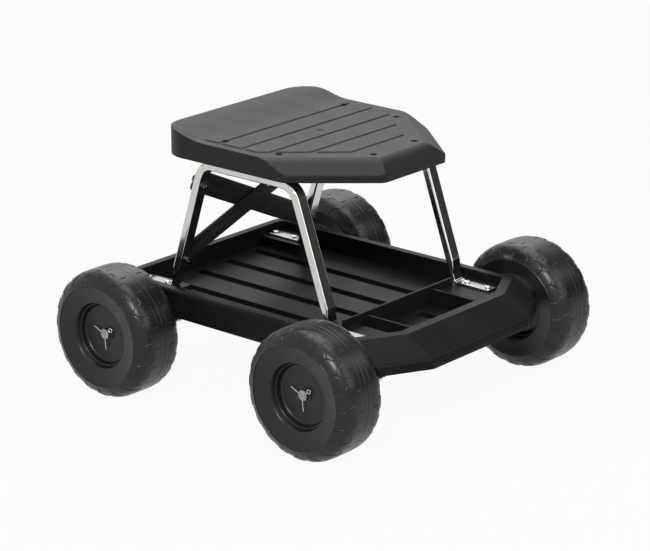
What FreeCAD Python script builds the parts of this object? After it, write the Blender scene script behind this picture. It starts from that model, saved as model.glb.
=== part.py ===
import FreeCAD, Part
import math
import os

# Rolling garden seat. Lengths are millimetres and angles are degrees.
# X points forward, Y to the sitter's left and Z up. The origin is on the floor, under the object's middle.

# Wheels
wheel_radius = 100.0
wheel_width = 89.0
wheel_wall = 3.6
wheelbase = 396.0
track = 512.0
shoulder_drop = 20.6
shoulder_power = 5.6
dish_depth = 6.5
recess_radius = 51.5
recess_taper = 2.9
recess_step_depth = 8.7
recess_step_width = 1.2
recess_lower_taper = 1.9
disc_depth = 24.5
disc_corner_width = 2.0
disc_corner_depth = 2.0
vent_diameter = 4.0
vent_inset = 9.0

# Axles, bushes, spacers and split pins
axle_diameter = 16.0
axle_end_margin = 1.7
running_gap = 0.08
end_gap = 0.3
bush_wall = 4.0
bush_flange_diameter = 32.0
bush_flange = 2.0
bush_proud = 1.5
bush_gap = 0.05
spacer_wall = 3.0
split_pin_diameter = 3.2
split_pin_gap = 0.1
split_pin_eye_radius = 3.1
split_pin_leg = 16.0
split_pin_leg_diameter = 1.5
split_pin_lean = 36.0
split_pin_curl = 40.0
split_pin_spread = 60.0

# Axle clamps under the tray
clamp_foot_gap = 7.0
clamp_block_width = 26.0
clamp_strap_width = 22.0
clamp_bolt_offset = 46.0
clamp_end_margin = 6.0
clamp_ear_rise = 9.0
clamp_seat_height = 4.0
clamp_thickness = 3.0
clamp_gap = 0.1
clamp_bolt_depth = 14.0

# Tray
tray_tail = 64.5
tray_wheel_gap = 16.5
tray_wall = 3.5
rim_rise = 61.0
rim_width = 17.0
front_rim_width = 15.0
rim_round = 6.0
skirt_rise = 18.0
tray_rear_corner = 24.0
tray_front_corner = 12.0
tray_side_corner = 16.0
cavity_corner = 9.0
floor_rise = 30.0
channel_width = 18.0
channel_depth = 6.0
channel_pitch = 67.0
channel_end_gap = 10.0
front_channel_setback = 10.0
divider_offset = 1.0
divider_inset = 19.0
divider_drop = 1.0
partition_inset = 22.0
partition_drop = 5.5
ledge_rise = 47.0
ledge_thickness = 4.0
ledge_inset = 22.0
front_ledge_inset = 49.0
front_ledge_margin = 14.0
rear_ledge_margin = 11.5

# Bumper nose of the tray
bumper_overhang = 6.0
bumper_corner_width = 79.5
bumper_corner_run = 42.0
bumper_slope_run = 48.0
bumper_corner_slope_run = 42.0
bumper_drop = 30.0
bumper_round = 10.0
bumper_knee = 2.5
bumper_steep_angle = 76.0

# Side frames
tube_width = 21.0
tube_depth = 13.0
tube_wall = 1.5
tube_corner = 2.6
frame_inset = 46.0
frame_height = 216.0
frame_bend_radius = 30.0
front_foot_end_gap = 32.0
rear_foot_end_gap = 6.0
front_leg_lean = 19.5
rear_leg_lean = 17.4
foot_thickness = 3.5
foot_length = 65.0
foot_bend_radius = 7.0
crush_start = 34.0
crush_end = 14.0
foot_bolt_inner = 17.0
foot_bolt_outer = 57.0

# Rear brace
strap_width = 35.0
strap_thickness = 3.0
strap_end_margin = 2.8
strap_corner = 10.0
strap_low = 41.0
strap_high_drop = 35.0
brace_low_bolt = 49.0
brace_bolt_inset = 3.0
brace_spacer_diameter = 18.0

# Seat
seat_back_overhang = 78.5
seat_front_overhang = 105.5
seat_side_overhang = 9.5
seat_front_half_width = 72.0
seat_corner_length = 113.0
seat_deck_rise = 30.5
seat_lip_rise = 11.0
seat_lip_flat = 32.0
seat_lip_run = 47.0
seat_lip_round = 110.0
seat_rim_height = 11.5
seat_front_slope_run = 20.0
seat_corner_slope_run = 27.0
seat_slope_round = 34.0
seat_slope_entry_angle = 4.0
seat_back_corner = 49.0
seat_side_corner = 22.0
seat_front_corner = 16.0
seat_wall = 4.0
seat_base_thickness = 4.0
seat_base_gap = 0.4
panel_height = 1.3
panel_setback = 109.0
panel_pitch = 45.3
panel_gap = 7.0
panel_side_margin = 17.0
panel_corner_margin = 56.0
panel_end_margin = 70.0
panel_edge = 0.6
gate_mark_diameter = 5.0
gate_ring_diameter = 9.0
gate_ring_depth = 1.0
gate_mark_offset = 3.0

# Seat screws and the bolts that hold the seat base on the frames
screw_rear_setback = 32.4
screw_middle_setback = 42.9
screw_side_inset = 32.0
screw_front_setback = 42.0
screw_front_inset = 24.6
screw_boss_diameter = 12.0
screw_well_diameter = 10.0
screw_well_depth = 8.0
screw_head_diameter = 9.4
screw_head_height = 2.6
screw_diameter = 4.0
screw_split_height = 13.0
seat_bolt_setback = 50.0

# Fasteners
bolt_diameter = 6.0
bolt_flats = 10.0
bolt_head_height = 4.0
pan_head_diameter = 9.6
pan_head_height = 2.4
nut_height = 5.0
bolt_tail = 1.5
bolt_hole_gap = 0.15
thread_gap = 0.05

# Places worked out from the sizes above
reach = 60.0
axle_height = wheel_radius
axle_middle_x = -bumper_overhang / 2
front_axle_x = axle_middle_x + wheelbase / 2
rear_axle_x = axle_middle_x - wheelbase / 2
wheel_y = track / 2
bumper_front = front_axle_x + wheel_radius + bumper_overhang
bumper_wall_x = bumper_front - bumper_slope_run - front_rim_width
tray_rear = rear_axle_x - tray_tail
tray_wall_x = tray_rear + rim_width
tray_half_width = wheel_y - wheel_width / 2 - tray_wheel_gap
tray_inner_y = tray_half_width - rim_width
bumper_half_width = tray_half_width - bumper_corner_width
skirt_bottom = axle_height + skirt_rise
floor_top = axle_height + floor_rise
ledge_top = axle_height + ledge_rise
rim_top = axle_height + rim_rise
bumper_band_top = rim_top - bumper_drop
divider_top = rim_top - divider_drop
partition_top = rim_top - partition_drop
frame_y = tray_half_width - frame_inset
clamp_inner_y = frame_y + clamp_foot_gap
clamp_center_y = clamp_inner_y + clamp_block_width / 2
clamp_outer_y = clamp_inner_y + clamp_block_width
clamp_half_length = clamp_bolt_offset + clamp_end_margin
clamp_ear_top = axle_height + clamp_ear_rise
ledge_inner_y = frame_y - ledge_inset
front_ledge_inner_y = frame_y - front_ledge_inset
partition_y = front_ledge_inner_y - partition_inset
divider_half_length = frame_y - divider_inset
channel_pairs = int((ledge_inner_y - channel_width / 2) / channel_pitch + 1 / 2)
front_foot_x = bumper_wall_x - front_foot_end_gap - foot_length
rear_foot_x = tray_wall_x + rear_foot_end_gap + foot_length
front_ledge_start = front_foot_x - front_ledge_margin
rear_ledge_end = rear_foot_x + rear_ledge_margin
divider_x = front_foot_x + divider_offset
front_channel_end = front_axle_x - front_channel_setback
frame_top = ledge_top + frame_height
disc_half = wheel_width / 2 - disc_depth
recess_step_radius = recess_radius - recess_taper
recess_wall_radius = recess_step_radius - recess_step_width - recess_lower_taper
disc_corner_radius = recess_wall_radius - disc_corner_width
vent_radius = disc_corner_radius - vent_inset
bush_outer_radius = axle_diameter / 2 + running_gap + bush_wall
bush_inner_end = wheel_y - disc_half - bush_flange
bush_outer_end = wheel_y + disc_half + bush_proud
pin_y = bush_outer_end + end_gap + split_pin_diameter / 2
axle_half_length = pin_y + split_pin_diameter / 2 + axle_end_margin - split_pin_gap
foot_middle = ledge_top + foot_thickness / 2
tube_middle = frame_top - tube_depth / 2
frame_rise = tube_middle - foot_middle
front_top_x = front_foot_x - frame_rise * math.tan(math.radians(front_leg_lean))
rear_top_x = rear_foot_x + frame_rise * math.tan(math.radians(rear_leg_lean))
rear_leg_length = frame_rise / math.cos(math.radians(rear_leg_lean))
strap_high = rear_leg_length - strap_high_drop
seat_bolt_rear_x = rear_top_x + seat_bolt_setback
seat_bolt_front_x = front_top_x - seat_bolt_setback
seat_bottom = frame_top
seat_rim_top = seat_bottom + seat_rim_height
seat_deck = seat_bottom + seat_deck_rise
seat_lip = seat_deck + seat_lip_rise
seat_front = front_top_x + seat_front_overhang
seat_back = rear_top_x - seat_back_overhang
seat_half_width = frame_y + tube_width / 2 + seat_side_overhang
seat_corner_start = seat_front - seat_corner_length
seat_lip_start = seat_back + seat_lip_flat
seat_lip_end = seat_lip_start + seat_lip_run
panel_first_x = seat_back + panel_setback
panel_field_end = seat_front - panel_end_margin
panel_count = 1 + int((panel_field_end - panel_first_x) / panel_pitch)
gate_mark_x = (seat_back + seat_front) / 2 - gate_mark_offset
screw_rear_x = rear_top_x + screw_rear_setback
screw_middle_x = front_top_x - screw_middle_setback
screw_front_x = seat_front - screw_front_setback
screw_side_y = seat_half_width - screw_side_inset
screw_front_y = seat_front_half_width - screw_front_inset
bolt_radius = bolt_diameter / 2
bolt_hole_radius = bolt_radius + bolt_hole_gap


def vec(x, y, z):
    return FreeCAD.Vector(x, y, z)


def unit(vector):
    return vector * (1.0 / vector.Length)


def block(x0, x1, y0, y1, z0, z1):
    return Part.makeBox(abs(x1 - x0), abs(y1 - y0), abs(z1 - z0), vec(min(x0, x1), min(y0, y1), min(z0, z1)))


def rod(radius, start, end):
    return Part.makeCylinder(radius, (end - start).Length, start, end - start)


def fuse(shapes):
    return shapes[0].multiFuse(shapes[1:]).removeSplitter()


# A wire through the points, with an arc of its own radius at each corner
def rounded_wire(points, radii, closed=True):
    count = len(points)
    ends = []
    for index, corner in enumerate(points):
        if radii[index] == 0:
            ends.append((corner, corner, corner))
            continue
        back = unit(points[index - 1] - corner)
        ahead = unit(points[(index + 1) % count] - corner)
        half_angle = back.getAngle(ahead) / 2
        tangent = radii[index] / math.tan(half_angle)
        middle = corner + unit(back + ahead) * (radii[index] / math.sin(half_angle) - radii[index])
        ends.append((corner + back * tangent, middle, corner + ahead * tangent))
    edges = []
    for index in range(count):
        start, middle, end = ends[index]
        if radii[index] > 0:
            edges.append(Part.Arc(start, middle, end).toShape())
        if closed or index + 1 < count:
            edges.append(Part.LineSegment(end, ends[(index + 1) % count][0]).toShape())
    return Part.Wire(edges)


def prism(corners, radii, bottom, top):
    points = [vec(x, y, bottom) for x, y in corners]
    return Part.Face(rounded_wire(points, radii)).extrude(vec(0, 0, top - bottom))


# Moves each edge of a convex, counterclockwise polygon inwards by its own distance
def inset(corners, distances):
    count = len(corners)
    lines = []
    for index in range(count):
        x0, y0 = corners[index]
        x1, y1 = corners[(index + 1) % count]
        length = math.hypot(x1 - x0, y1 - y0)
        normal = ((y1 - y0) / length, (x0 - x1) / length)
        lines.append((normal, normal[0] * x0 + normal[1] * y0 - distances[index]))
    moved = []
    for index in range(count):
        (a, b), c = lines[index - 1]
        (d, e), f = lines[index]
        scale = a * e - b * d
        moved.append(((c * e - b * f) / scale, (a * f - c * d) / scale))
    return moved


# A long cutter along one edge of a plan outline. Its section is drawn in distance past the edge and height.
def edge_cutter(start, end, section, radii):
    along = unit(vec(end[0] - start[0], end[1] - start[1], 0))
    outward = vec(along.y, -along.x, 0)
    origin = vec(start[0], start[1], 0) - along * reach * 6
    points = [origin + outward * distance + vec(0, 0, height) for distance, height in section]
    span = math.hypot(end[0] - start[0], end[1] - start[1]) + reach * 12
    return Part.Face(rounded_wire(points, radii)).extrude(along * span)


# A bar of rounded rectangular section along a path in a plane of constant Y
def section_wire(center, direction, width, depth, corner):
    across = vec(0, 1, 0)
    normal = direction.cross(across)
    points = []
    for side, face in ((-1, -1), (1, -1), (1, 1), (-1, 1)):
        points.append(center + across * (side * width / 2) + normal * (face * depth / 2))
    return rounded_wire(points, [corner] * 4)


def swept_bar(points, radii, width, depth, corner):
    path = rounded_wire(points, radii, closed=False)
    profile = section_wire(points[0], unit(points[1] - points[0]), width, depth, corner)
    return Part.Wire(path).makePipeShell([profile], True, False)


# Fasteners. A bolt hangs from the underside of its head, and a nut starts at the face it is tightened on.
def hexagon(flats, height, base, direction):
    corner_radius = flats / math.sqrt(3)
    corners = []
    for step in range(6):
        angle = math.radians(60 * step)
        corners.append(vec(corner_radius * math.cos(angle), corner_radius * math.sin(angle), 0))
    solid = Part.Face(rounded_wire(corners, [0] * 6)).extrude(vec(0, 0, height))
    solid.Placement = FreeCAD.Placement(base, FreeCAD.Rotation(vec(0, 0, 1), direction))
    return solid


def hex_bolt(seat, direction, length):
    head = hexagon(bolt_flats, bolt_head_height, seat, direction * -1)
    return fuse([head, rod(bolt_radius, seat, seat + direction * length)])


def pan_bolt(seat, direction, length):
    head = rod(pan_head_diameter / 2, seat - direction * pan_head_height, seat)
    return fuse([head, rod(bolt_radius, seat, seat + direction * length)])


def hex_nut(seat, direction):
    nut = hexagon(bolt_flats, nut_height, seat, direction)
    return nut.cut(rod(bolt_radius + thread_gap, seat - direction, seat + direction * (nut_height + 1)))


# Wheels
def tread_edge(half_width, radius, drop):
    count = 25
    points = []
    for step in range(count):
        share = -1 + 2 * step / (count - 1)
        points.append(vec(0, share * half_width, radius - drop * abs(share) ** shoulder_power))
    curve = Part.BSplineCurve()
    curve.interpolate(points)
    return curve.toShape()


def turned(tread, outline):
    points = [vec(0, y, radius) for y, radius in outline]
    edges = [tread]
    for start, end in zip(points, points[1:]):
        edges.append(Part.LineSegment(start, end).toShape())
    face = Part.Face(Part.Wire(Part.__sortEdges__(edges)))
    return face.revolve(vec(0, 0, 0), vec(0, 1, 0), 360)


def mirrored_outline(half):
    return half + [(-y, radius) for y, radius in reversed(half)]


def wheel(x, side):
    half = wheel_width / 2
    edge_radius = wheel_radius - shoulder_drop
    step_y = half - dish_depth - recess_step_depth
    skin = [(half, edge_radius), (half - dish_depth, recess_radius)]
    skin += [(step_y, recess_step_radius), (step_y, recess_step_radius - recess_step_width)]
    skin += [(disc_half + disc_corner_depth, recess_wall_radius), (disc_half, disc_corner_radius)]
    skin.append((disc_half, bush_outer_radius + bush_gap))
    body = turned(tread_edge(half, wheel_radius, shoulder_drop), mirrored_outline(skin))
    inner_half = half - wheel_wall
    core = [(inner_half, edge_radius), (half - dish_depth - wheel_wall, recess_radius + wheel_wall)]
    core += [(disc_half - wheel_wall, recess_wall_radius + wheel_wall)]
    core += [(disc_half - wheel_wall, bush_outer_radius + bush_gap + wheel_wall)]
    inner_drop = shoulder_drop - wheel_wall
    hollow = turned(tread_edge(inner_half, wheel_radius - wheel_wall, inner_drop), mirrored_outline(core))
    vent_start = vec(vent_radius, -side * wheel_width, 0)
    vent = rod(vent_diameter / 2, vent_start, vec(vent_radius, 0, 0))
    body = body.cut(hollow).cut(vent)
    body.translate(vec(x, side * wheel_y, axle_height))
    return body


def hub_bush(x, side):
    start = vec(x, side * bush_inner_end, axle_height)
    collar = vec(x, side * (bush_inner_end + bush_flange), axle_height)
    end = vec(x, side * bush_outer_end, axle_height)
    sleeve = rod(bush_outer_radius, start, end)
    flange = rod(bush_flange_diameter / 2, start, collar)
    bore_reach = vec(0, side * reach, 0)
    bore = rod(axle_diameter / 2 + running_gap, start - bore_reach, end + bore_reach)
    return fuse([sleeve, flange]).cut(bore)


# Axles and what holds the wheels on them
def pin_direction():
    lean = math.radians(split_pin_lean)
    return vec(math.cos(lean), 0, math.sin(lean))


def axle(x):
    end = vec(0, axle_half_length, 0)
    middle = vec(x, 0, axle_height)
    bar = rod(axle_diameter / 2, middle - end, middle + end)
    for side in (-1, 1):
        center = vec(x, side * pin_y, axle_height)
        along = pin_direction() * axle_diameter
        bar = bar.cut(rod(split_pin_diameter / 2 + split_pin_gap, center - along, center + along))
    return bar


def spacer(x, side):
    start = vec(x, side * (clamp_outer_y + end_gap), axle_height)
    end = vec(x, side * (bush_inner_end - end_gap), axle_height)
    inner_radius = axle_diameter / 2 + clamp_gap
    return rod(inner_radius + spacer_wall, start, end).cut(rod(inner_radius, start, end))


# The pin's eye stays outside the axle. On the other side each leg lies round the axle and then stands off.
def split_pin(x, side):
    center = vec(x, side * pin_y, axle_height)
    along = pin_direction()
    wire_radius = split_pin_leg_diameter / 2
    surface = axle_diameter / 2 + split_pin_gap + wire_radius
    eye_center = center + along * (surface + split_pin_eye_radius)
    knee = center - along * (surface + wire_radius)
    pieces = [rod(split_pin_diameter / 2, knee, center + along * surface)]
    pieces.append(Part.makeTorus(split_pin_eye_radius, wire_radius, eye_center, vec(0, 1, 0)))
    pieces.append(Part.makeSphere(split_pin_diameter / 2, knee))
    for turn in (-1, 1):
        curl = FreeCAD.Rotation(vec(0, 1, 0), turn * split_pin_curl)
        bend = center + curl.multVec(knee - center)
        spread = FreeCAD.Rotation(vec(0, 1, 0), turn * split_pin_spread)
        tip = bend + spread.multVec(along * -1) * split_pin_leg
        pieces += [rod(wire_radius, knee, bend), rod(wire_radius, bend, tip)]
        pieces.append(Part.makeSphere(wire_radius, bend))
    return fuse(pieces)


# Axle clamps. The ears lie on the tray and the saddle hangs round the axle.
def clamp_points(x, side):
    return [vec(x + end * clamp_bolt_offset, side * clamp_center_y, clamp_ear_top) for end in (-1, 1)]


def clamp_strap(x, side):
    half = clamp_strap_width / 2
    y0 = side * clamp_center_y - half
    y1 = side * clamp_center_y + half
    inner = axle_diameter / 2 + clamp_gap
    outer = inner + clamp_thickness
    ear_bottom = clamp_ear_top - clamp_thickness
    ears = block(x - clamp_half_length, x + clamp_half_length, y0, y1, ear_bottom, clamp_ear_top)
    sides = block(x - outer, x + outer, y0, y1, axle_height, clamp_ear_top)
    saddle = rod(outer, vec(x, y0, axle_height), vec(x, y1, axle_height))
    bore = rod(inner, vec(x, y0 - 1, axle_height), vec(x, y1 + 1, axle_height))
    slot = block(x - inner, x + inner, y0 - 1, y1 + 1, axle_height, clamp_ear_top + 1)
    above = block(x - reach, x + reach, y0 - 1, y1 + 1, clamp_ear_top, clamp_ear_top + reach)
    strap = fuse([ears, sides, saddle]).cut(bore).cut(slot).cut(above)
    for point in clamp_points(x, side):
        strap = strap.cut(rod(bolt_hole_radius, point - vec(0, 0, reach), point + vec(0, 0, 1)))
    return strap


def clamp_bolts():
    bolts = []
    for x in (front_axle_x, rear_axle_x):
        for side in (-1, 1):
            for point in clamp_points(x, side):
                seat = point - vec(0, 0, clamp_thickness)
                bolts.append(hex_bolt(seat, vec(0, 0, 1), clamp_thickness + clamp_bolt_depth))
    return bolts


# Tray
def tray_outline():
    corner_x = bumper_front - bumper_corner_run
    near = [(tray_rear, -tray_half_width), (corner_x, -tray_half_width), (bumper_front, -bumper_half_width)]
    return near + [(x, -y) for x, y in reversed(near)]


def bumper_cutters(outline, lower):
    steep = math.tan(math.radians(bumper_steep_angle))
    cutters = []
    for edge, run in ((1, bumper_corner_slope_run), (2, bumper_slope_run), (3, bumper_corner_slope_run)):
        slope = (rim_top - bumper_band_top) / run
        knee_height = bumper_band_top + bumper_knee * slope - lower
        section = [(-run - reach, rim_top + reach * slope - lower), (-bumper_knee, knee_height)]
        section += [(reach - bumper_knee, knee_height - reach * steep), (reach, rim_top + reach * 2)]
        cutters.append(edge_cutter(outline[edge], outline[edge + 1], section, [0, bumper_round, 0, 0]))
    return cutters


def tray_form(outline, lower, bottom, round_over):
    corners = [tray_rear_corner, tray_side_corner, tray_front_corner]
    form = prism(outline, corners + corners[::-1], bottom, rim_top - lower)
    if round_over > 0:
        top_edges = [edge for edge in form.Edges if edge.BoundBox.ZMin > rim_top - lower - 1]
        form = form.makeFillet(round_over, top_edges)
    for cutter in bumper_cutters(outline, lower):
        form = form.cut(cutter)
    return form


def rim_outline():
    runs = [0, bumper_corner_slope_run, bumper_slope_run, bumper_corner_slope_run, 0, 0]
    return inset(tray_outline(), runs)


def channel_boxes(grow):
    half = channel_width / 2 + grow
    bottom = floor_top - channel_depth - grow
    rear = tray_wall_x + channel_end_gap - grow
    half_divider = tray_wall / 2
    boxes = []
    for step in range(channel_pairs * 2):
        y = (step - channel_pairs + 1 / 2) * channel_pitch
        front = divider_x - half_divider - channel_end_gap + grow
        boxes.append(block(rear, front, y - half, y + half, bottom, floor_top + 1))
        if abs(y) + half < partition_y:
            start = divider_x + half_divider + channel_end_gap - grow
            boxes.append(block(start, front_channel_end + grow, y - half, y + half, bottom, floor_top + 1))
    return boxes


# Raised ledges that carry the four feet. Each has a pocket under it for the nuts.
def ledge_boxes():
    bottom = floor_top - 1
    boxes = []
    for side in (-1, 1):
        y0 = side * ledge_inner_y
        y1 = side * tray_inner_y
        boxes.append(block(tray_wall_x, rear_ledge_end, y0, y1, bottom, ledge_top))
        boxes.append(block(front_ledge_start, bumper_wall_x, y0, y1, bottom, ledge_top))
        inner = side * front_ledge_inner_y
        boxes.append(block(divider_x, bumper_wall_x, inner, y1, bottom, ledge_top))
    return boxes


def ledge_pockets():
    ends = [(tray_wall_x, rear_ledge_end), (front_ledge_start, bumper_wall_x)]
    boxes = []
    for side in (-1, 1):
        y0 = side * (ledge_inner_y + tray_wall)
        y1 = side * clamp_inner_y
        for start, end in ends:
            x0 = start + tray_wall
            x1 = end - tray_wall
            boxes.append(block(x0, x1, y0, y1, skirt_bottom, ledge_top - ledge_thickness))
    return boxes


def foot_bolt_points():
    points = []
    for side in (-1, 1):
        for foot_x, ahead in ((front_foot_x, 1), (rear_foot_x, -1)):
            for offset in (foot_bolt_inner, foot_bolt_outer):
                points.append(vec(foot_x + ahead * offset, side * frame_y, ledge_top + foot_thickness))
    return points


def tray():
    outline = tray_outline()
    wall = [tray_wall] * 6
    rims = [rim_width] + [front_rim_width] * 3 + [rim_width] * 2
    cavity_plan = inset(rim_outline(), rims)
    half_wall = tray_wall / 2
    cavity = prism(cavity_plan, [cavity_corner] * 6, floor_top, rim_top + reach)
    divider_ends = (-divider_half_length, divider_half_length)
    divider = block(divider_x - half_wall, divider_x + half_wall, *divider_ends, floor_top - 1, divider_top)
    partitions = []
    for side in (-1, 1):
        y0 = side * partition_y - half_wall
        y1 = side * partition_y + half_wall
        partitions.append(block(divider_x, bumper_front, y0, y1, floor_top - 1, partition_top))
    cavity = cavity.cut(fuse([divider] + partitions + ledge_boxes()))
    basin_plan = inset(cavity_plan, [-tray_wall] * 6)
    basin = prism(basin_plan, [cavity_corner] * 6, floor_top - tray_wall, rim_top + reach)
    basin = fuse([basin] + channel_boxes(tray_wall))
    under = tray_form(inset(outline, wall), tray_wall, skirt_bottom - 1, 0).cut(basin)
    form = tray_form(outline, 0, skirt_bottom, rim_round)
    form = form.cut(under)
    for pocket in ledge_pockets():
        form = form.cut(pocket)
    blocks = []
    for x in (front_axle_x, rear_axle_x):
        for side in (-1, 1):
            y0 = side * clamp_inner_y
            y1 = side * clamp_outer_y
            top = floor_top - tray_wall / 2
            blocks.append(block(x - clamp_half_length, x + clamp_half_length, y0, y1, clamp_ear_top, top))
            web = axle_diameter / 2
            blocks.append(block(x - web, x + web, y0, y1, axle_height + clamp_seat_height, top))
    form = fuse([form] + blocks)
    form = form.cut(cavity)
    for channel in channel_boxes(0):
        form = form.cut(channel)
    for x in (front_axle_x, rear_axle_x):
        groove_reach = vec(0, axle_half_length, 0)
        center = vec(x, 0, axle_height)
        form = form.cut(rod(axle_diameter / 2 + clamp_gap, center - groove_reach, center + groove_reach))
        for side in (-1, 1):
            for point in clamp_points(x, side):
                tip = point + vec(0, 0, clamp_bolt_depth + bolt_tail)
                form = form.cut(rod(bolt_radius + thread_gap, point, tip))
    for point in foot_bolt_points():
        form = form.cut(rod(bolt_hole_radius, point - vec(0, 0, floor_top / 4), point))
    return form


# Side frames
def leg_axis(lean, ahead):
    angle = math.radians(lean)
    return vec(-ahead * math.sin(angle), 0, math.cos(angle))


def rear_leg_point(side, height):
    return vec(rear_foot_x, side * frame_y, foot_middle) + leg_axis(rear_leg_lean, -1) * height


def brace_points(side):
    inward = vec(0, -side * brace_bolt_inset, 0)
    return [rear_leg_point(side, height) + inward for height in (brace_low_bolt, strap_high)]


def brace_normal():
    return vec(0, 1, 0).cross(leg_axis(rear_leg_lean, -1))


def seat_bolt_points(side):
    places = (seat_bolt_rear_x, seat_bolt_front_x)
    return [vec(x, side * frame_y, frame_top - tube_depth) for x in places]


def side_frame(side):
    y = side * frame_y
    legs = []
    for foot_x, lean, ahead in ((front_foot_x, front_leg_lean, 1), (rear_foot_x, rear_leg_lean, -1)):
        foot = vec(foot_x, y, foot_middle)
        axis = leg_axis(lean, ahead)
        top = foot + axis * ((tube_middle - foot_middle) / axis.z)
        legs.append((foot, axis, top, ahead))
    front_start = legs[0][0] + legs[0][1] * crush_start
    rear_start = legs[1][0] + legs[1][1] * crush_start
    path = [front_start, legs[0][2], legs[1][2], rear_start]
    bends = [0, frame_bend_radius, frame_bend_radius, 0]
    tube = swept_bar(path, bends, tube_width, tube_depth, tube_corner)
    hollow_width = tube_width - 2 * tube_wall
    hollow_depth = tube_depth - 2 * tube_wall
    hollow = swept_bar(path, bends, hollow_width, hollow_depth, tube_corner - tube_wall)
    pieces = [tube.cut(hollow)]
    flat_corner = foot_thickness / 4
    for foot, axis, top, ahead in legs:
        high = section_wire(foot + axis * crush_start, axis, tube_width, tube_depth, tube_corner)
        low = section_wire(foot + axis * crush_end, axis, tube_width, foot_thickness, flat_corner)
        pieces.append(Part.makeLoft([high, low], True, True))
        toe = foot + vec(ahead * foot_length, 0, 0)
        bent = [foot + axis * crush_end, foot, toe]
        pieces.append(swept_bar(bent, [0, foot_bend_radius, 0], tube_width, foot_thickness, flat_corner))
    frame = fuse(pieces)
    for point in foot_bolt_points():
        if point.y * side > 0:
            frame = frame.cut(rod(bolt_hole_radius, point - vec(0, 0, reach), point + vec(0, 0, 1)))
    for point in brace_points(side):
        through = brace_normal() * tube_depth
        frame = frame.cut(rod(bolt_hole_radius, point - through, point + through))
    for point in seat_bolt_points(side):
        frame = frame.cut(rod(bolt_hole_radius, point - vec(0, 0, 1), point + vec(0, 0, tube_depth + 1)))
    return frame


# Rear brace, on the back of the rear legs. The second strap lies one thickness further back, on spacers.
def strap_bolt_points(rising_side):
    return [brace_points(-rising_side)[0], brace_points(rising_side)[1]]


# The ends reach a little past the legs and are rounded
def brace_strap(rising_side, layer):
    low = rear_leg_point(-rising_side, strap_low)
    high = rear_leg_point(rising_side, strap_high)
    normal = brace_normal()
    along = unit(high - low)
    across = normal.cross(along) * (strap_width / 2)
    back = normal * (tube_depth / 2 + (layer + 1) * strap_thickness)
    start = low - back - along * strap_end_margin
    end = high - back + along * strap_end_margin
    corners = [start - across, start + across, end + across, end - across]
    strap = Part.Face(rounded_wire(corners, [strap_corner] * 4)).extrude(normal * strap_thickness)
    for point in strap_bolt_points(rising_side):
        strap = strap.cut(rod(bolt_hole_radius, point - normal * reach, point))
    return strap


def brace_fasteners():
    normal = brace_normal()
    bolts = []
    nuts = []
    spacers = []
    for rising_side, layer in ((1, 0), (-1, 1)):
        for point in strap_bolt_points(rising_side):
            front = point + normal * (tube_depth / 2)
            back = point - normal * (tube_depth / 2)
            rear = back - normal * ((layer + 1) * strap_thickness)
            length = (front - rear).Length + nut_height + bolt_tail
            bolts.append(hex_bolt(rear, normal, length))
            nuts.append(hex_nut(front, normal))
            if layer > 0:
                ring = rod(brace_spacer_diameter / 2, back - normal * (layer * strap_thickness), back)
                spacers.append(ring.cut(rod(bolt_hole_radius, back - normal * reach, back + normal)))
    return bolts, nuts, spacers


# Feet fasteners
def foot_bolts():
    length = foot_thickness + ledge_thickness + nut_height + bolt_tail
    return [pan_bolt(point, vec(0, 0, -1), length) for point in foot_bolt_points()]


def foot_nuts():
    drop = vec(0, 0, foot_thickness + ledge_thickness)
    return [hex_nut(point - drop, vec(0, 0, -1)) for point in foot_bolt_points()]


# Seat
def seat_outline():
    near = [(seat_back, -seat_half_width), (seat_corner_start, -seat_half_width)]
    near.append((seat_front, -seat_front_half_width))
    return near + [(x, -y) for x, y in reversed(near)]


def seat_form(shrink, bottom):
    plan = inset(seat_outline(), [shrink] * 6)
    corners = [max(radius - shrink, 1) for radius in (seat_back_corner, seat_side_corner, seat_front_corner)]
    form = prism(plan, corners + corners[::-1], bottom, seat_lip + reach)
    deck = seat_deck - shrink
    lip = seat_lip - shrink
    side_reach = seat_half_width * 2
    top_line = [vec(seat_back - reach, -side_reach, lip), vec(seat_lip_start, -side_reach, lip)]
    top_line += [vec(seat_lip_end, -side_reach, deck), vec(seat_front + reach, -side_reach, deck)]
    top_line.append(vec(seat_front + reach, -side_reach, lip + reach * 2))
    top_line.append(vec(seat_back - reach, -side_reach, lip + reach * 2))
    top = Part.Face(rounded_wire(top_line, [0, seat_lip_round, seat_lip_round, 0, 0, 0]))
    form = form.cut(top.extrude(vec(0, side_reach * 2, 0)))
    entry = math.tan(math.radians(seat_slope_entry_angle))
    rim = seat_rim_top - shrink
    for edge, run in ((1, seat_corner_slope_run), (2, seat_front_slope_run), (3, seat_corner_slope_run)):
        slope = (deck - rim) / run
        section = [(-run - reach, deck + reach * entry), (-run, deck), (reach, rim - reach * slope)]
        section.append((reach, lip + reach * 2))
        form = form.cut(edge_cutter(plan[edge], plan[edge + 1], section, [0, seat_slope_round, 0, 0]))
    return form


def screw_points():
    places = [(screw_rear_x, screw_side_y), (screw_middle_x, screw_side_y), (screw_front_x, screw_front_y)]
    return [(x, side * y) for x, y in places for side in (-1, 1)]


# Raised cross panels of the deck, cut from one field that follows the seat's outline
def deck_panels():
    sides = [panel_side_margin, panel_corner_margin]
    margins = sides + [panel_end_margin] + sides[::-1] + [0]
    field = inset(seat_outline(), margins)
    top = seat_deck + panel_height
    panels = []
    for step in range(panel_count):
        front = panel_first_x + step * panel_pitch
        rear = front - panel_pitch + panel_gap
        band = block(rear, front, -seat_half_width, seat_half_width, seat_deck - seat_wall / 2, top)
        panel = prism(field, [0] * 6, seat_deck - seat_wall, top + 1).common(band)
        edges = [edge for edge in panel.Edges if edge.BoundBox.ZMin > seat_deck]
        panels.append(panel.makeChamfer(panel_edge, edges))
    return panels


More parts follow.
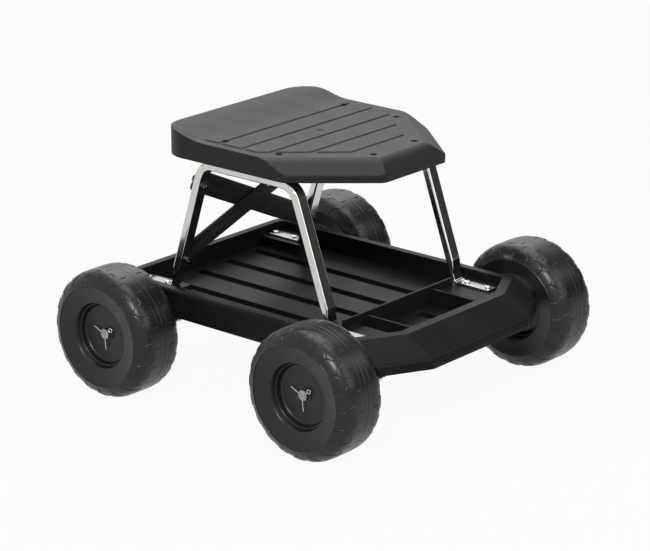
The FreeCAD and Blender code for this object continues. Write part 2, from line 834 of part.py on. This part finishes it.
def seat_shell():
    split = seat_bottom + screw_split_height
    shell = seat_form(0, seat_bottom).cut(seat_form(seat_wall, seat_bottom - 1))
    bosses = []
    for x, y in screw_points():
        bosses.append(rod(screw_boss_diameter / 2, vec(x, y, split), vec(x, y, seat_deck - seat_wall / 2)))
    shell = fuse([shell] + bosses + deck_panels())
    mark_top = vec(gate_mark_x, 0, seat_deck + panel_height)
    mark_floor = mark_top - vec(0, 0, gate_ring_depth)
    ring = rod(gate_ring_diameter / 2, mark_floor, mark_top + vec(0, 0, 1))
    shell = shell.cut(ring.cut(rod(gate_mark_diameter / 2, mark_floor, mark_top + vec(0, 0, 1))))
    for x, y in screw_points():
        hole = rod(screw_diameter / 2 + bolt_hole_gap, vec(x, y, seat_bottom), vec(x, y, seat_lip))
        shell = shell.cut(hole)
        well_floor = vec(x, y, seat_deck - screw_well_depth)
        shell = shell.cut(rod(screw_well_diameter / 2, well_floor, vec(x, y, seat_lip)))
    return shell


def seat_base():
    shrink = seat_wall + seat_base_gap
    plan = inset(seat_outline(), [shrink] * 6)
    corners = [radius - shrink for radius in (seat_back_corner, seat_side_corner, seat_front_corner)]
    top = seat_bottom + seat_base_thickness
    base = prism(plan, corners + corners[::-1], seat_bottom, top)
    posts = []
    for x, y in screw_points():
        foot = vec(x, y, seat_bottom)
        posts.append(rod(screw_boss_diameter / 2, foot, foot + vec(0, 0, screw_split_height)))
    base = fuse([base] + posts)
    for x, y in screw_points():
        hole_floor = vec(x, y, top)
        base = base.cut(rod(screw_diameter / 2 + thread_gap, hole_floor, vec(x, y, seat_lip)))
    for side in (-1, 1):
        for point in seat_bolt_points(side):
            base = base.cut(rod(bolt_hole_radius, point, point + vec(0, 0, reach)))
    return base


def seat_screws():
    screws = []
    for x, y in screw_points():
        seat = vec(x, y, seat_deck - screw_well_depth)
        head = rod(screw_head_diameter / 2, seat, seat + vec(0, 0, screw_head_height))
        tip = vec(x, y, seat_bottom + seat_base_thickness + bolt_tail)
        screws.append(fuse([head, rod(screw_diameter / 2, tip, seat)]))
    return screws


def seat_bolts():
    length = tube_depth + seat_base_thickness + nut_height + bolt_tail
    up = vec(0, 0, 1)
    return [pan_bolt(point, up, length) for side in (-1, 1) for point in seat_bolt_points(side)]


def seat_nuts():
    lift = vec(0, 0, tube_depth + seat_base_thickness)
    return [hex_nut(point + lift, vec(0, 0, 1)) for side in (-1, 1) for point in seat_bolt_points(side)]


# All pieces by name
def pieces():
    named = {"seat_shell": seat_shell(), "seat_base": seat_base()}
    named["seat_screws"] = Part.makeCompound(seat_screws())
    named["seat_bolts"] = Part.makeCompound(seat_bolts())
    named["seat_nuts"] = Part.makeCompound(seat_nuts())
    named["right_side_frame"] = side_frame(-1)
    named["left_side_frame"] = side_frame(1)
    named["rear_brace_strap"] = brace_strap(-1, 1)
    named["front_brace_strap"] = brace_strap(1, 0)
    bolts, nuts, spacers = brace_fasteners()
    named["brace_bolts"] = Part.makeCompound(bolts)
    named["brace_nuts"] = Part.makeCompound(nuts)
    named["brace_spacers"] = Part.makeCompound(spacers)
    named["foot_bolts"] = Part.makeCompound(foot_bolts())
    named["foot_nuts"] = Part.makeCompound(foot_nuts())
    named["tool_tray"] = tray()
    named["axle_clamp_bolts"] = Part.makeCompound(clamp_bolts())
    for end, x in (("front", front_axle_x), ("rear", rear_axle_x)):
        named[end + "_axle"] = axle(x)
        for hand, side in (("right", -1), ("left", 1)):
            place = end + "_" + hand
            named[place + "_wheel"] = wheel(x, side)
            named[place + "_hub_bush"] = hub_bush(x, side)
            named[place + "_axle_spacer"] = spacer(x, side)
            named[place + "_split_pin"] = split_pin(x, side)
            named[place + "_axle_clamp"] = clamp_strap(x, side)
    return named


os.makedirs("parts", exist_ok=True)
for name, shape in pieces().items():
    shape.exportStep("parts/" + name + ".step")
    print(name, len(shape.Solids), round(shape.Volume), shape.isValid())
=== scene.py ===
import math

import bpy
import numpy as np
from mathutils import Matrix, Vector


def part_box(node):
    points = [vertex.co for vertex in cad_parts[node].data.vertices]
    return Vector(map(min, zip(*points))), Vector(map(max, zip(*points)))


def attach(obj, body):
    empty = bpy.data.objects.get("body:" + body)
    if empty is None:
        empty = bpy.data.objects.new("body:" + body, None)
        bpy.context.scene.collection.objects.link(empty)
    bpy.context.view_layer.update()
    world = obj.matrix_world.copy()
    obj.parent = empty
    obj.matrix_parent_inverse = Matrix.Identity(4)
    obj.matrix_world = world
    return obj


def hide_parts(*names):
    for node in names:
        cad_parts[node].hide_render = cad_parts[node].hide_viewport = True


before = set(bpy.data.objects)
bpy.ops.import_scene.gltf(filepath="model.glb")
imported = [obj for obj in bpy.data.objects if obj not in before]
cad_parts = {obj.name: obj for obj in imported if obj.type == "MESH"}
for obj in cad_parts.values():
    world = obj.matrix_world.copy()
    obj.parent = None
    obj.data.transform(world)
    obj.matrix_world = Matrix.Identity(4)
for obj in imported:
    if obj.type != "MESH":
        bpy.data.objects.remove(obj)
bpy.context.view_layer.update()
scene = bpy.context.scene
mm = 0.001


# sRGB hex value to Blender's linear colour
def hexColour(code):
    linear = []
    for start in (1, 3, 5):
        level = int(code[start:start + 2], 16) / 255
        linear.append(level / 12.92 if level <= 0.04045 else ((level + 0.055) / 1.055) ** 2.4)
    return (*linear, 1.0)


# Adds one node: settings are its own properties, links give an input a value or another's output
def addNode(tree, kind, links=None, **settings):
    node = tree.nodes.new(kind)
    for name, value in settings.items():
        setattr(node, name, value)
    for name, value in (links or {}).items():
        if isinstance(value, bpy.types.NodeSocket):
            tree.links.new(value, node.inputs[name])
        else:
            node.inputs[name].default_value = value
    return node


def newMaterial(name):
    material = bpy.data.materials.new(name)
    material.use_nodes = True
    material.node_tree.nodes.clear()
    return material, material.node_tree


# What all finishes share: layers of noise, where the shades start and end, samples for a soft edge
finishSettings = {
    "patchLayers": 3.0, "grainLayers": 2.0, "shadeStops": (0.35, 0.68), "edgeSamples": 6,
}


# Two close shades in soft patches, and a roughness that drifts with them.
# A look with a grain has soft edges too.
def surfaceMaterial(name, look):
    material, tree = newMaterial(name)
    place = addNode(tree, "ShaderNodeTexCoord").outputs["Object"]
    patches = addNode(tree, "ShaderNodeTexNoise", {
        "Vector": place, "Scale": 1 / (look["patchMm"] * mm),
        "Detail": finishSettings["patchLayers"]})
    smoothest, roughest = look["rough"]
    rough = addNode(tree, "ShaderNodeMix", {
        "Factor": patches.outputs["Fac"], "A": smoothest, "B": roughest})
    tint = addNode(tree, "ShaderNodeValToRGB", {"Fac": patches.outputs["Fac"]})
    stops = tint.color_ramp.elements
    for stop, code, position in zip(stops, look["colours"], finishSettings["shadeStops"]):
        stop.color = hexColour(code)
        stop.position = position
    surface = addNode(tree, "ShaderNodeBsdfPrincipled", {
        "Base Color": tint.outputs["Color"], "Roughness": rough.outputs["Result"],
        "Metallic": look["metallic"]})
    if "grainMm" in look:
        grain = addNode(tree, "ShaderNodeTexNoise", {
            "Vector": place, "Scale": 1 / (look["grainMm"] * mm),
            "Detail": finishSettings["grainLayers"]})
        edges = addNode(tree, "ShaderNodeBevel", {"Radius": look["edgeMm"] * mm},
                        samples=finishSettings["edgeSamples"])
        relief = addNode(tree, "ShaderNodeBump", {
            "Height": grain.outputs["Fac"], "Strength": look["grainStrength"],
            "Distance": look["grainHeightMm"] * mm, "Normal": edges.outputs["Normal"]})
        tree.links.new(relief.outputs["Normal"], surface.inputs["Normal"])
    if "gloss" in look:
        surface.inputs["Specular IOR Level"].default_value = look["gloss"]
    addNode(tree, "ShaderNodeOutputMaterial", {"Surface": surface.outputs["BSDF"]})
    return material


# Moulded polypropylene seat: a spark-eroded mould leaves a fine even grain, so the black has a
# satin grey sheen. The real grain is 0.3 mm wide and is drawn coarser, so that it shows.
grainedPolypropylene = surfaceMaterial("grainedPolypropylene", {
    "colours": ("#0a0a0b", "#0e0e0f"), "rough": (0.46, 0.54), "metallic": 0.0, "gloss": 0.25,
    "edgeMm": 3.2, "patchMm": 60,
    "grainMm": 1.1, "grainHeightMm": 0.05, "grainStrength": 0.5})

# Moulded polypropylene tray: a polished mould leaves it smoother and blacker than the seat
polishedPolypropylene = surfaceMaterial("polishedPolypropylene", {
    "colours": ("#171717", "#1b1b1b"), "rough": (0.28, 0.36), "metallic": 0.0, "gloss": 0.06,
    "edgeMm": 0.8, "patchMm": 45,
    "grainMm": 1.6, "grainHeightMm": 0.04, "grainStrength": 0.3})

# Blow-moulded polyethylene: waxy skin with a faint orange peel and a soft highlight on the shoulders
blowMouldedPolyethylene = surfaceMaterial("blowMouldedPolyethylene", {
    "colours": ("#141414", "#191919"), "rough": (0.28, 0.36), "metallic": 0.0, "gloss": 0.32,
    "edgeMm": 0.3, "patchMm": 35,
    "grainMm": 3.5, "grainHeightMm": 0.06, "grainStrength": 0.2})

# Chromed flat steel tube: polished all over, so it mirrors the white floor and the dark wheels
chromedTube = surfaceMaterial("chromedTube", {
    "colours": ("#c6c4c0", "#cecbc7"), "rough": (0.13, 0.15), "metallic": 1.0, "patchMm": 25})

# Powder-coated strip steel: thick sprayed film with an orange peel, near black with a dull gloss
powderCoatedStrap = surfaceMaterial("powderCoatedStrap", {
    "colours": ("#2b2b2b", "#333333"), "rough": (0.46, 0.55), "metallic": 0.0, "gloss": 0.35,
    "edgeMm": 0.8, "patchMm": 30,
    "grainMm": 2.0, "grainHeightMm": 0.06, "grainStrength": 0.4})

# Zinc-plated steel: bright, slightly milky plating over drawn wire and headed bolts
zincPlatedSteel = surfaceMaterial("zincPlatedSteel", {
    "colours": ("#c4c0b9", "#d8d5cf"), "rough": (0.2, 0.32), "metallic": 1.0,
    "edgeMm": 0.3, "patchMm": 6,
    "grainMm": 0.8, "grainHeightMm": 0.02, "grainStrength": 0.3})

# Turned bar steel: the saw and the lathe leave the axle ends greyer and duller than the plated parts
turnedBarSteel = surfaceMaterial("turnedBarSteel", {
    "colours": ("#8b8883", "#a19e98"), "rough": (0.28, 0.4), "metallic": 1.0,
    "edgeMm": 0.3, "patchMm": 5,
    "grainMm": 0.8, "grainHeightMm": 0.03, "grainStrength": 0.4})

# Blackened steel: oiled black nuts and bolts, dark with small bright glints on their corners
blackenedSteel = surfaceMaterial("blackenedSteel", {
    "colours": ("#4c4c4d", "#6a6a6b"), "rough": (0.16, 0.26), "metallic": 1.0,
    "edgeMm": 0.3, "patchMm": 4,
    "grainMm": 0.8, "grainHeightMm": 0.02, "grainStrength": 0.3})

# Phosphated steel: dark grey crystalline skin that hardly shines
phosphatedSteel = surfaceMaterial("phosphatedSteel", {
    "colours": ("#1c1c1d", "#262627"), "rough": (0.45, 0.58), "metallic": 0.85,
    "edgeMm": 0.3, "patchMm": 5,
    "grainMm": 0.6, "grainHeightMm": 0.02, "grainStrength": 0.3})

# Moulded nylon: plain black bush with a dull sheen
mouldedNylon = surfaceMaterial("mouldedNylon", {
    "colours": ("#141414", "#1a1a1a"), "rough": (0.4, 0.5), "metallic": 0.0, "gloss": 0.4,
    "edgeMm": 0.3, "patchMm": 12,
    "grainMm": 0.9, "grainHeightMm": 0.03, "grainStrength": 0.3})
print("materials made")

# Which finish each CAD piece gets, and how wide its edges are rounded, in mm.
# With 0 the CAD edges stay as they are.
dressing = {
    "seat_shell": (grainedPolypropylene, 0),
    "seat_base": (grainedPolypropylene, 0),
    "tool_tray": (polishedPolypropylene, 0),
    "right_side_frame": (chromedTube, 0),
    "left_side_frame": (chromedTube, 0),
    "front_brace_strap": (powderCoatedStrap, 0.5),
    "rear_brace_strap": (powderCoatedStrap, 0.5),
    "seat_screws": (phosphatedSteel, 0.3),
    "brace_spacers": (phosphatedSteel, 0.3),
}
for name in ("seat_bolts", "seat_nuts", "foot_bolts", "foot_nuts", "axle_clamp_bolts"):
    dressing[name] = (zincPlatedSteel, 0.4)
for name in ("brace_bolts", "brace_nuts"):
    dressing[name] = (blackenedSteel, 0.4)
for name in ("front_axle", "rear_axle"):
    dressing[name] = (turnedBarSteel, 0.4)
corners = ["front_right", "front_left", "rear_right", "rear_left"]
for corner in corners:
    dressing[corner + "_hub_bush"] = (mouldedNylon, 0.4)
    dressing[corner + "_axle_spacer"] = (phosphatedSteel, 0.4)
    dressing[corner + "_split_pin"] = (zincPlatedSteel, 0)
    dressing[corner + "_axle_clamp"] = (powderCoatedStrap, 0.5)
    dressing[corner + "_wheel"] = (blowMouldedPolyethylene, 0)

# Edges sharper than sharpDegrees shade as a crease, those sharper than roundDegrees are rounded
edgeSettings = {
    "weldMm": 0.01, "flatDegrees": 0.8, "sharpDegrees": 11.5, "roundDegrees": 32, "segments": 2,
}


def dressNode(name, material, edgeMm):
    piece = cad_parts[name]
    piece.data.materials.clear()
    piece.data.materials.append(material)
    piece.data.shade_smooth()
    piece.data.set_sharp_from_angle(angle=math.radians(edgeSettings["sharpDegrees"]))
    if edgeMm == 0:
        return
    weld = piece.modifiers.new("joinSeams", "WELD")
    weld.merge_threshold = edgeSettings["weldMm"] * mm
    flat = piece.modifiers.new("joinFlats", "DECIMATE")
    flat.decimate_type = "DISSOLVE"
    flat.angle_limit = math.radians(edgeSettings["flatDegrees"])
    bevel = piece.modifiers.new("roundEdges", "BEVEL")
    bevel.width = edgeMm * mm
    bevel.segments = edgeSettings["segments"]
    bevel.limit_method = "ANGLE"
    bevel.angle_limit = math.radians(edgeSettings["roundDegrees"])
    bevel.harden_normals = True
    bevel.use_clamp_overlap = True


for name, (material, edgeMm) in dressing.items():
    dressNode(name, material, edgeMm)
print("CAD pieces dressed:", len(dressing))

# One wheel, turned about Y round its own middle, with raised lugs on both sides of a plain band.
# Lengths are in mm. The lines of a lug give distance along the tread and distance from the wheel's
# middle, outermost first. The face gives distance from the middle and radius, from tread to bore.
wheelLook = {
    "lugs": 20, "stepsPerLug": 52, "treadRows": 136,
    "shoulderDrop": 20.6, "shoulderPower": 5.6, "sharpDegrees": 62,
    "lugTrailing": ((0, 45), (-1.8, 39.5), (-11.5, 34.8), (-13, 23.5)),
    "lugLeading": ((0, 45), (0.5, 39), (7, 35), (9, 23.5)),
    "lugHeight": 0.9, "lugEdge": 0.8,
    "lugFade": ((33, 1.0), (41, 0.5)),  # distance from the middle, share of the height left
    "lineWidth": 1.7, "lineDepth": 1.0,
    "dash": ((-2.5, 21), (-2.8, 11.5)), "dashWidth": 1.7, "dashDepth": 0.9,
    "bandLines": ((0, 0.5), (-9.5, 0.3), (9.5, 0.3)),  # distance from the middle, depth
    "bandLineWidth": 1.6,
    "face": (
        (44.2, 79.2), (43.2, 78.95), (43.2, 78.7), (44.0, 77.5), (43.85, 76.9), (43.2, 75.2),
        (38.9, 55.4), (38.3, 52.8), (37.7, 51.8), (36.6, 51.0), (30.0, 48.85), (29.5, 48.6),
        (29.3, 48.2), (29.3, 47.8), (29.1, 47.4), (28.4, 47.15), (23.0, 45.75), (21.6, 45.1),
        (20.4, 43.9), (20.0, 42.9), (20.0, 30.0), (20.0, 12.13),
    ),
}


def lineDistance(x, y, points):
    nearest = np.full(x.shape, np.inf)
    for start, end in zip(points, points[1:]):
        dx, dy = end[0] - start[0], end[1] - start[1]
        share = np.clip(((x - start[0]) * dx + (y - start[1]) * dy) / (dx * dx + dy * dy), 0, 1)
        nearest = np.minimum(nearest, np.hypot(x - start[0] - share * dx, y - start[1] - share * dy))
    return nearest


# 0 outside an edge and 1 inside it, with a soft ramp of the given width between
def softStep(distance, width):
    share = np.clip(0.5 + distance / width, 0, 1)
    return share * share * (3 - 2 * share)


def grooveDepth(distance, width, depth):
    return depth * np.clip(1 - (distance / (width / 2)) ** 2, 0, 1)


# Where a lug's edge lies along the tread, at each distance from the wheel's middle
def edgeAlong(across, points):
    along, outward = zip(*reversed(points))
    return np.interp(across, outward, along)


# How far below the lug tops the tread lies at each place of one repeat of the pattern
def treadDepth(along, across, repeat):
    x, y = np.meshgrid(along, np.abs(across), indexing="ij")
    leading, trailing = wheelLook["lugLeading"], wheelLook["lugTrailing"]
    valley = list(leading) + [(px + repeat, py) for px, py in reversed(trailing)]
    valleyStart = edgeAlong(y, leading)
    valleyEnd = edgeAlong(y, trailing) + repeat
    innermost = leading[-1][1]
    height = wheelLook["lugHeight"] * np.interp(y, *zip(*wheelLook["lugFade"]))
    grooves = [
        (trailing, wheelLook["lineWidth"], wheelLook["lineDepth"]),
        (leading, wheelLook["lineWidth"], wheelLook["lineDepth"]),
        (wheelLook["dash"], wheelLook["dashWidth"], wheelLook["dashDepth"]),
    ]
    depth = np.zeros_like(x)
    for shift in (-repeat, 0, repeat):
        inside = (y > innermost) & (x - shift > valleyStart) & (x - shift < valleyEnd)
        away = lineDistance(x - shift, y, valley) * np.where(inside, 1, -1)
        depth = np.maximum(depth, height * softStep(away, wheelLook["lugEdge"]))
        for line, width, deep in grooves:
            depth = np.maximum(depth, grooveDepth(lineDistance(x - shift, y, line), width, deep))
    for centre, deep in wheelLook["bandLines"]:
        band = grooveDepth(np.abs(across - centre), wheelLook["bandLineWidth"], deep)
        depth = np.maximum(depth, band[None, :])
    return depth


def wheelMesh():
    low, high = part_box("front_right_wheel")
    radius = (high.z - low.z) / 2 / mm
    halfWidth = (high.y - low.y) / 2 / mm
    steps = wheelLook["lugs"] * wheelLook["stepsPerLug"]
    repeat = 2 * math.pi * radius / wheelLook["lugs"]
    across = np.linspace(-halfWidth, halfWidth, wheelLook["treadRows"])
    drop = np.abs(across / halfWidth) ** wheelLook["shoulderPower"]
    crown = radius - wheelLook["shoulderDrop"] * drop
    along = np.arange(wheelLook["stepsPerLug"]) * repeat / wheelLook["stepsPerLug"]
    cut = np.tile(treadDepth(along, across, repeat), (wheelLook["lugs"], 1))
    slope = np.gradient(crown, across)
    steep = np.sqrt(1 + slope ** 2)
    treadRadius = crown - cut / steep  # cut square to the tread's surface
    treadAcross = across + cut * slope / steep
    face = np.array(wheelLook["face"])
    count = len(face)
    rows = len(across) + 2 * count
    allRadius = np.zeros((steps, rows))
    allAcross = np.zeros((steps, rows))
    allRadius[:, :count], allAcross[:, :count] = face[::-1, 1], -face[::-1, 0]
    allRadius[:, count:-count], allAcross[:, count:-count] = treadRadius, treadAcross
    allRadius[:, -count:], allAcross[:, -count:] = face[:, 1], face[:, 0]
    angle = np.arange(steps)[:, None] * 2 * math.pi / steps
    places = (allRadius * np.cos(angle), allAcross, allRadius * np.sin(angle))
    points = np.stack(places, axis=-1).reshape(-1, 3) * mm
    here = np.arange(steps)[:, None] * rows + np.arange(rows)[None, :]
    ahead = np.roll(here, -1, axis=0)
    after = np.roll(here, -1, axis=1)  # the last row joins the first through the hub's bore
    afterAhead = np.roll(ahead, -1, axis=1)
    quads = np.stack([here, after, afterAhead, ahead], axis=-1).reshape(-1, 4)
    mesh = bpy.data.meshes.new("treadedWheel")
    mesh.from_pydata(points.tolist(), [], quads.tolist())
    mesh.shade_smooth()
    mesh.set_sharp_from_angle(angle=math.radians(wheelLook["sharpDegrees"]))
    mesh.materials.append(blowMouldedPolyethylene)
    return mesh


treadedWheel = wheelMesh()
for corner in corners:
    low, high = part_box(corner + "_wheel")
    wheel = bpy.data.objects.new(corner + "_treaded_wheel", treadedWheel)
    scene.collection.objects.link(wheel)
    wheel.location = (low + high) / 2
    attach(wheel, corner + "_wheel_set")
    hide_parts(corner + "_wheel")
print("wheels made:", len(treadedWheel.vertices), "points each")

# Studio: a floor that is white to the camera and in mirrored light, soft lights all round, and a
# white world with one dark side that only mirrored light shows
studio = {
    "white": "#ffffff", "whiteLevel": 1.0,
    "floorMetres": 14, "floorColour": "#9c9c9c", "floorGlow": 0.95,
    "worldLight": 0.22,
    "darkSide": (0.68, 0.72, 0.14), "darkSpread": (0.35, 0.8), "darkLevel": 0.05,
}


def makeFloor():
    material, tree = newMaterial("matteWhitePaper")
    path = addNode(tree, "ShaderNodeLightPath")
    seen = path.outputs["Is Camera Ray"]
    for ray in ("Is Glossy Ray", "Is Transmission Ray"):
        either = addNode(tree, "ShaderNodeMath", {0: seen, 1: path.outputs[ray]},
                         operation="MAXIMUM")
        seen = either.outputs["Value"]
    share = addNode(tree, "ShaderNodeMath", {0: seen, 1: studio["floorGlow"]},
                    operation="MULTIPLY")
    paper = addNode(tree, "ShaderNodeBsdfDiffuse", {"Color": hexColour(studio["floorColour"])})
    glow = addNode(tree, "ShaderNodeEmission", {
        "Color": hexColour(studio["white"]), "Strength": studio["whiteLevel"]})
    mix = addNode(tree, "ShaderNodeMixShader", {
        0: share.outputs["Value"], 1: paper.outputs["BSDF"], 2: glow.outputs["Emission"]})
    addNode(tree, "ShaderNodeOutputMaterial", {"Surface": mix.outputs["Shader"]})
    half = studio["floorMetres"] / 2
    outline = [(-half, -half, 0), (half, -half, 0), (half, half, 0), (-half, half, 0)]
    mesh = bpy.data.meshes.new("studioFloor")
    mesh.from_pydata(outline, [], [(0, 1, 2, 3)])
    mesh.materials.append(material)
    floor = bpy.data.objects.new("studioFloor", mesh)
    scene.collection.objects.link(floor)


def makeWorld():
    world = bpy.data.worlds.new("whiteStudio")
    world.use_nodes = True
    tree = world.node_tree
    tree.nodes.clear()
    path = addNode(tree, "ShaderNodeLightPath")
    way = addNode(tree, "ShaderNodeTexCoord").outputs["Generated"]
    towards = addNode(tree, "ShaderNodeVectorMath", {0: way, 1: studio["darkSide"]},
                      operation="DOT_PRODUCT")
    fadeStart, fadeEnd = studio["darkSpread"]
    fade = addNode(tree, "ShaderNodeMapRange", {
        "Value": towards.outputs["Value"], "From Min": fadeStart, "From Max": fadeEnd,
        "To Min": studio["whiteLevel"], "To Max": studio["darkLevel"]},
        interpolation_type="SMOOTHSTEP")
    mirrored = addNode(tree, "ShaderNodeMix", {
        "Factor": path.outputs["Is Glossy Ray"], "A": studio["worldLight"],
        "B": fade.outputs["Result"]})
    seen = addNode(tree, "ShaderNodeMath", {
        0: path.outputs["Is Camera Ray"], 1: path.outputs["Is Transmission Ray"]},
        operation="MAXIMUM")
    level = addNode(tree, "ShaderNodeMix", {
        "Factor": seen.outputs["Value"], "A": mirrored.outputs["Result"],
        "B": studio["whiteLevel"]})
    light = addNode(tree, "ShaderNodeBackground", {
        "Color": hexColour(studio["white"]), "Strength": level.outputs["Result"]})
    addNode(tree, "ShaderNodeOutputWorld", {"Surface": light.outputs["Background"]})
    scene.world = world


# Each light: where it stands, where it points, its side length in metres and its power in watts
softLights = {
    "overheadSoftbox": ((-0.2, 0.3, 2.6), (0, 0, 0.25), 2.2, 42),
    "backSoftbox": ((-2.0, 2.3, 2.9), (0, 0, 0.3), 2.4, 40),
    "cameraSoftbox": ((1.33, -2.27, 2.16), (0, 0, 0.2), 0.6, 66),
    "frontFill": ((2.8, 0.5, 1.9), (0, 0, 0.25), 2.4, 46),
    "farSoftbox": ((1.8, 2.2, 2.0), (0, 0, 0.25), 1.0, 8),
}


def makeLights():
    for name, (place, target, side, power) in softLights.items():
        data = bpy.data.lights.new(name, "AREA")
        data.shape = "SQUARE"
        data.size = side
        data.energy = power
        light = bpy.data.objects.new(name, data)
        scene.collection.objects.link(light)
        light.location = place
        towards = Vector(target) - Vector(place)
        light.rotation_euler = towards.to_track_quat("-Z", "Y").to_euler()


# Where the photograph was taken from: angles in degrees, place in metres
photoCamera = {
    "lensMm": 148.525, "sensorMm": 36,
    "azimuth": 40.43, "elevation": 18.643, "place": (2.52958, -2.97293, 1.48205),
}


def makeCamera():
    data = bpy.data.cameras.new("photoCamera")
    data.lens = photoCamera["lensMm"]
    data.sensor_width = photoCamera["sensorMm"]
    camera = bpy.data.objects.new("photoCamera", data)
    scene.collection.objects.link(camera)
    turn = math.radians(photoCamera["azimuth"])
    rise = math.radians(photoCamera["elevation"])
    level = math.cos(rise)
    back = Vector((math.sin(turn) * level, -math.cos(turn) * level, math.sin(rise)))
    right = Vector((math.cos(turn), math.sin(turn), 0))
    aim = Matrix((right, back.cross(right), back)).transposed().to_4x4()
    camera.matrix_world = Matrix.Translation(photoCamera["place"]) @ aim
    scene.camera = camera


makeFloor()
makeWorld()
makeLights()
makeCamera()
scene.view_settings.view_transform = "Standard"
print("studio made")
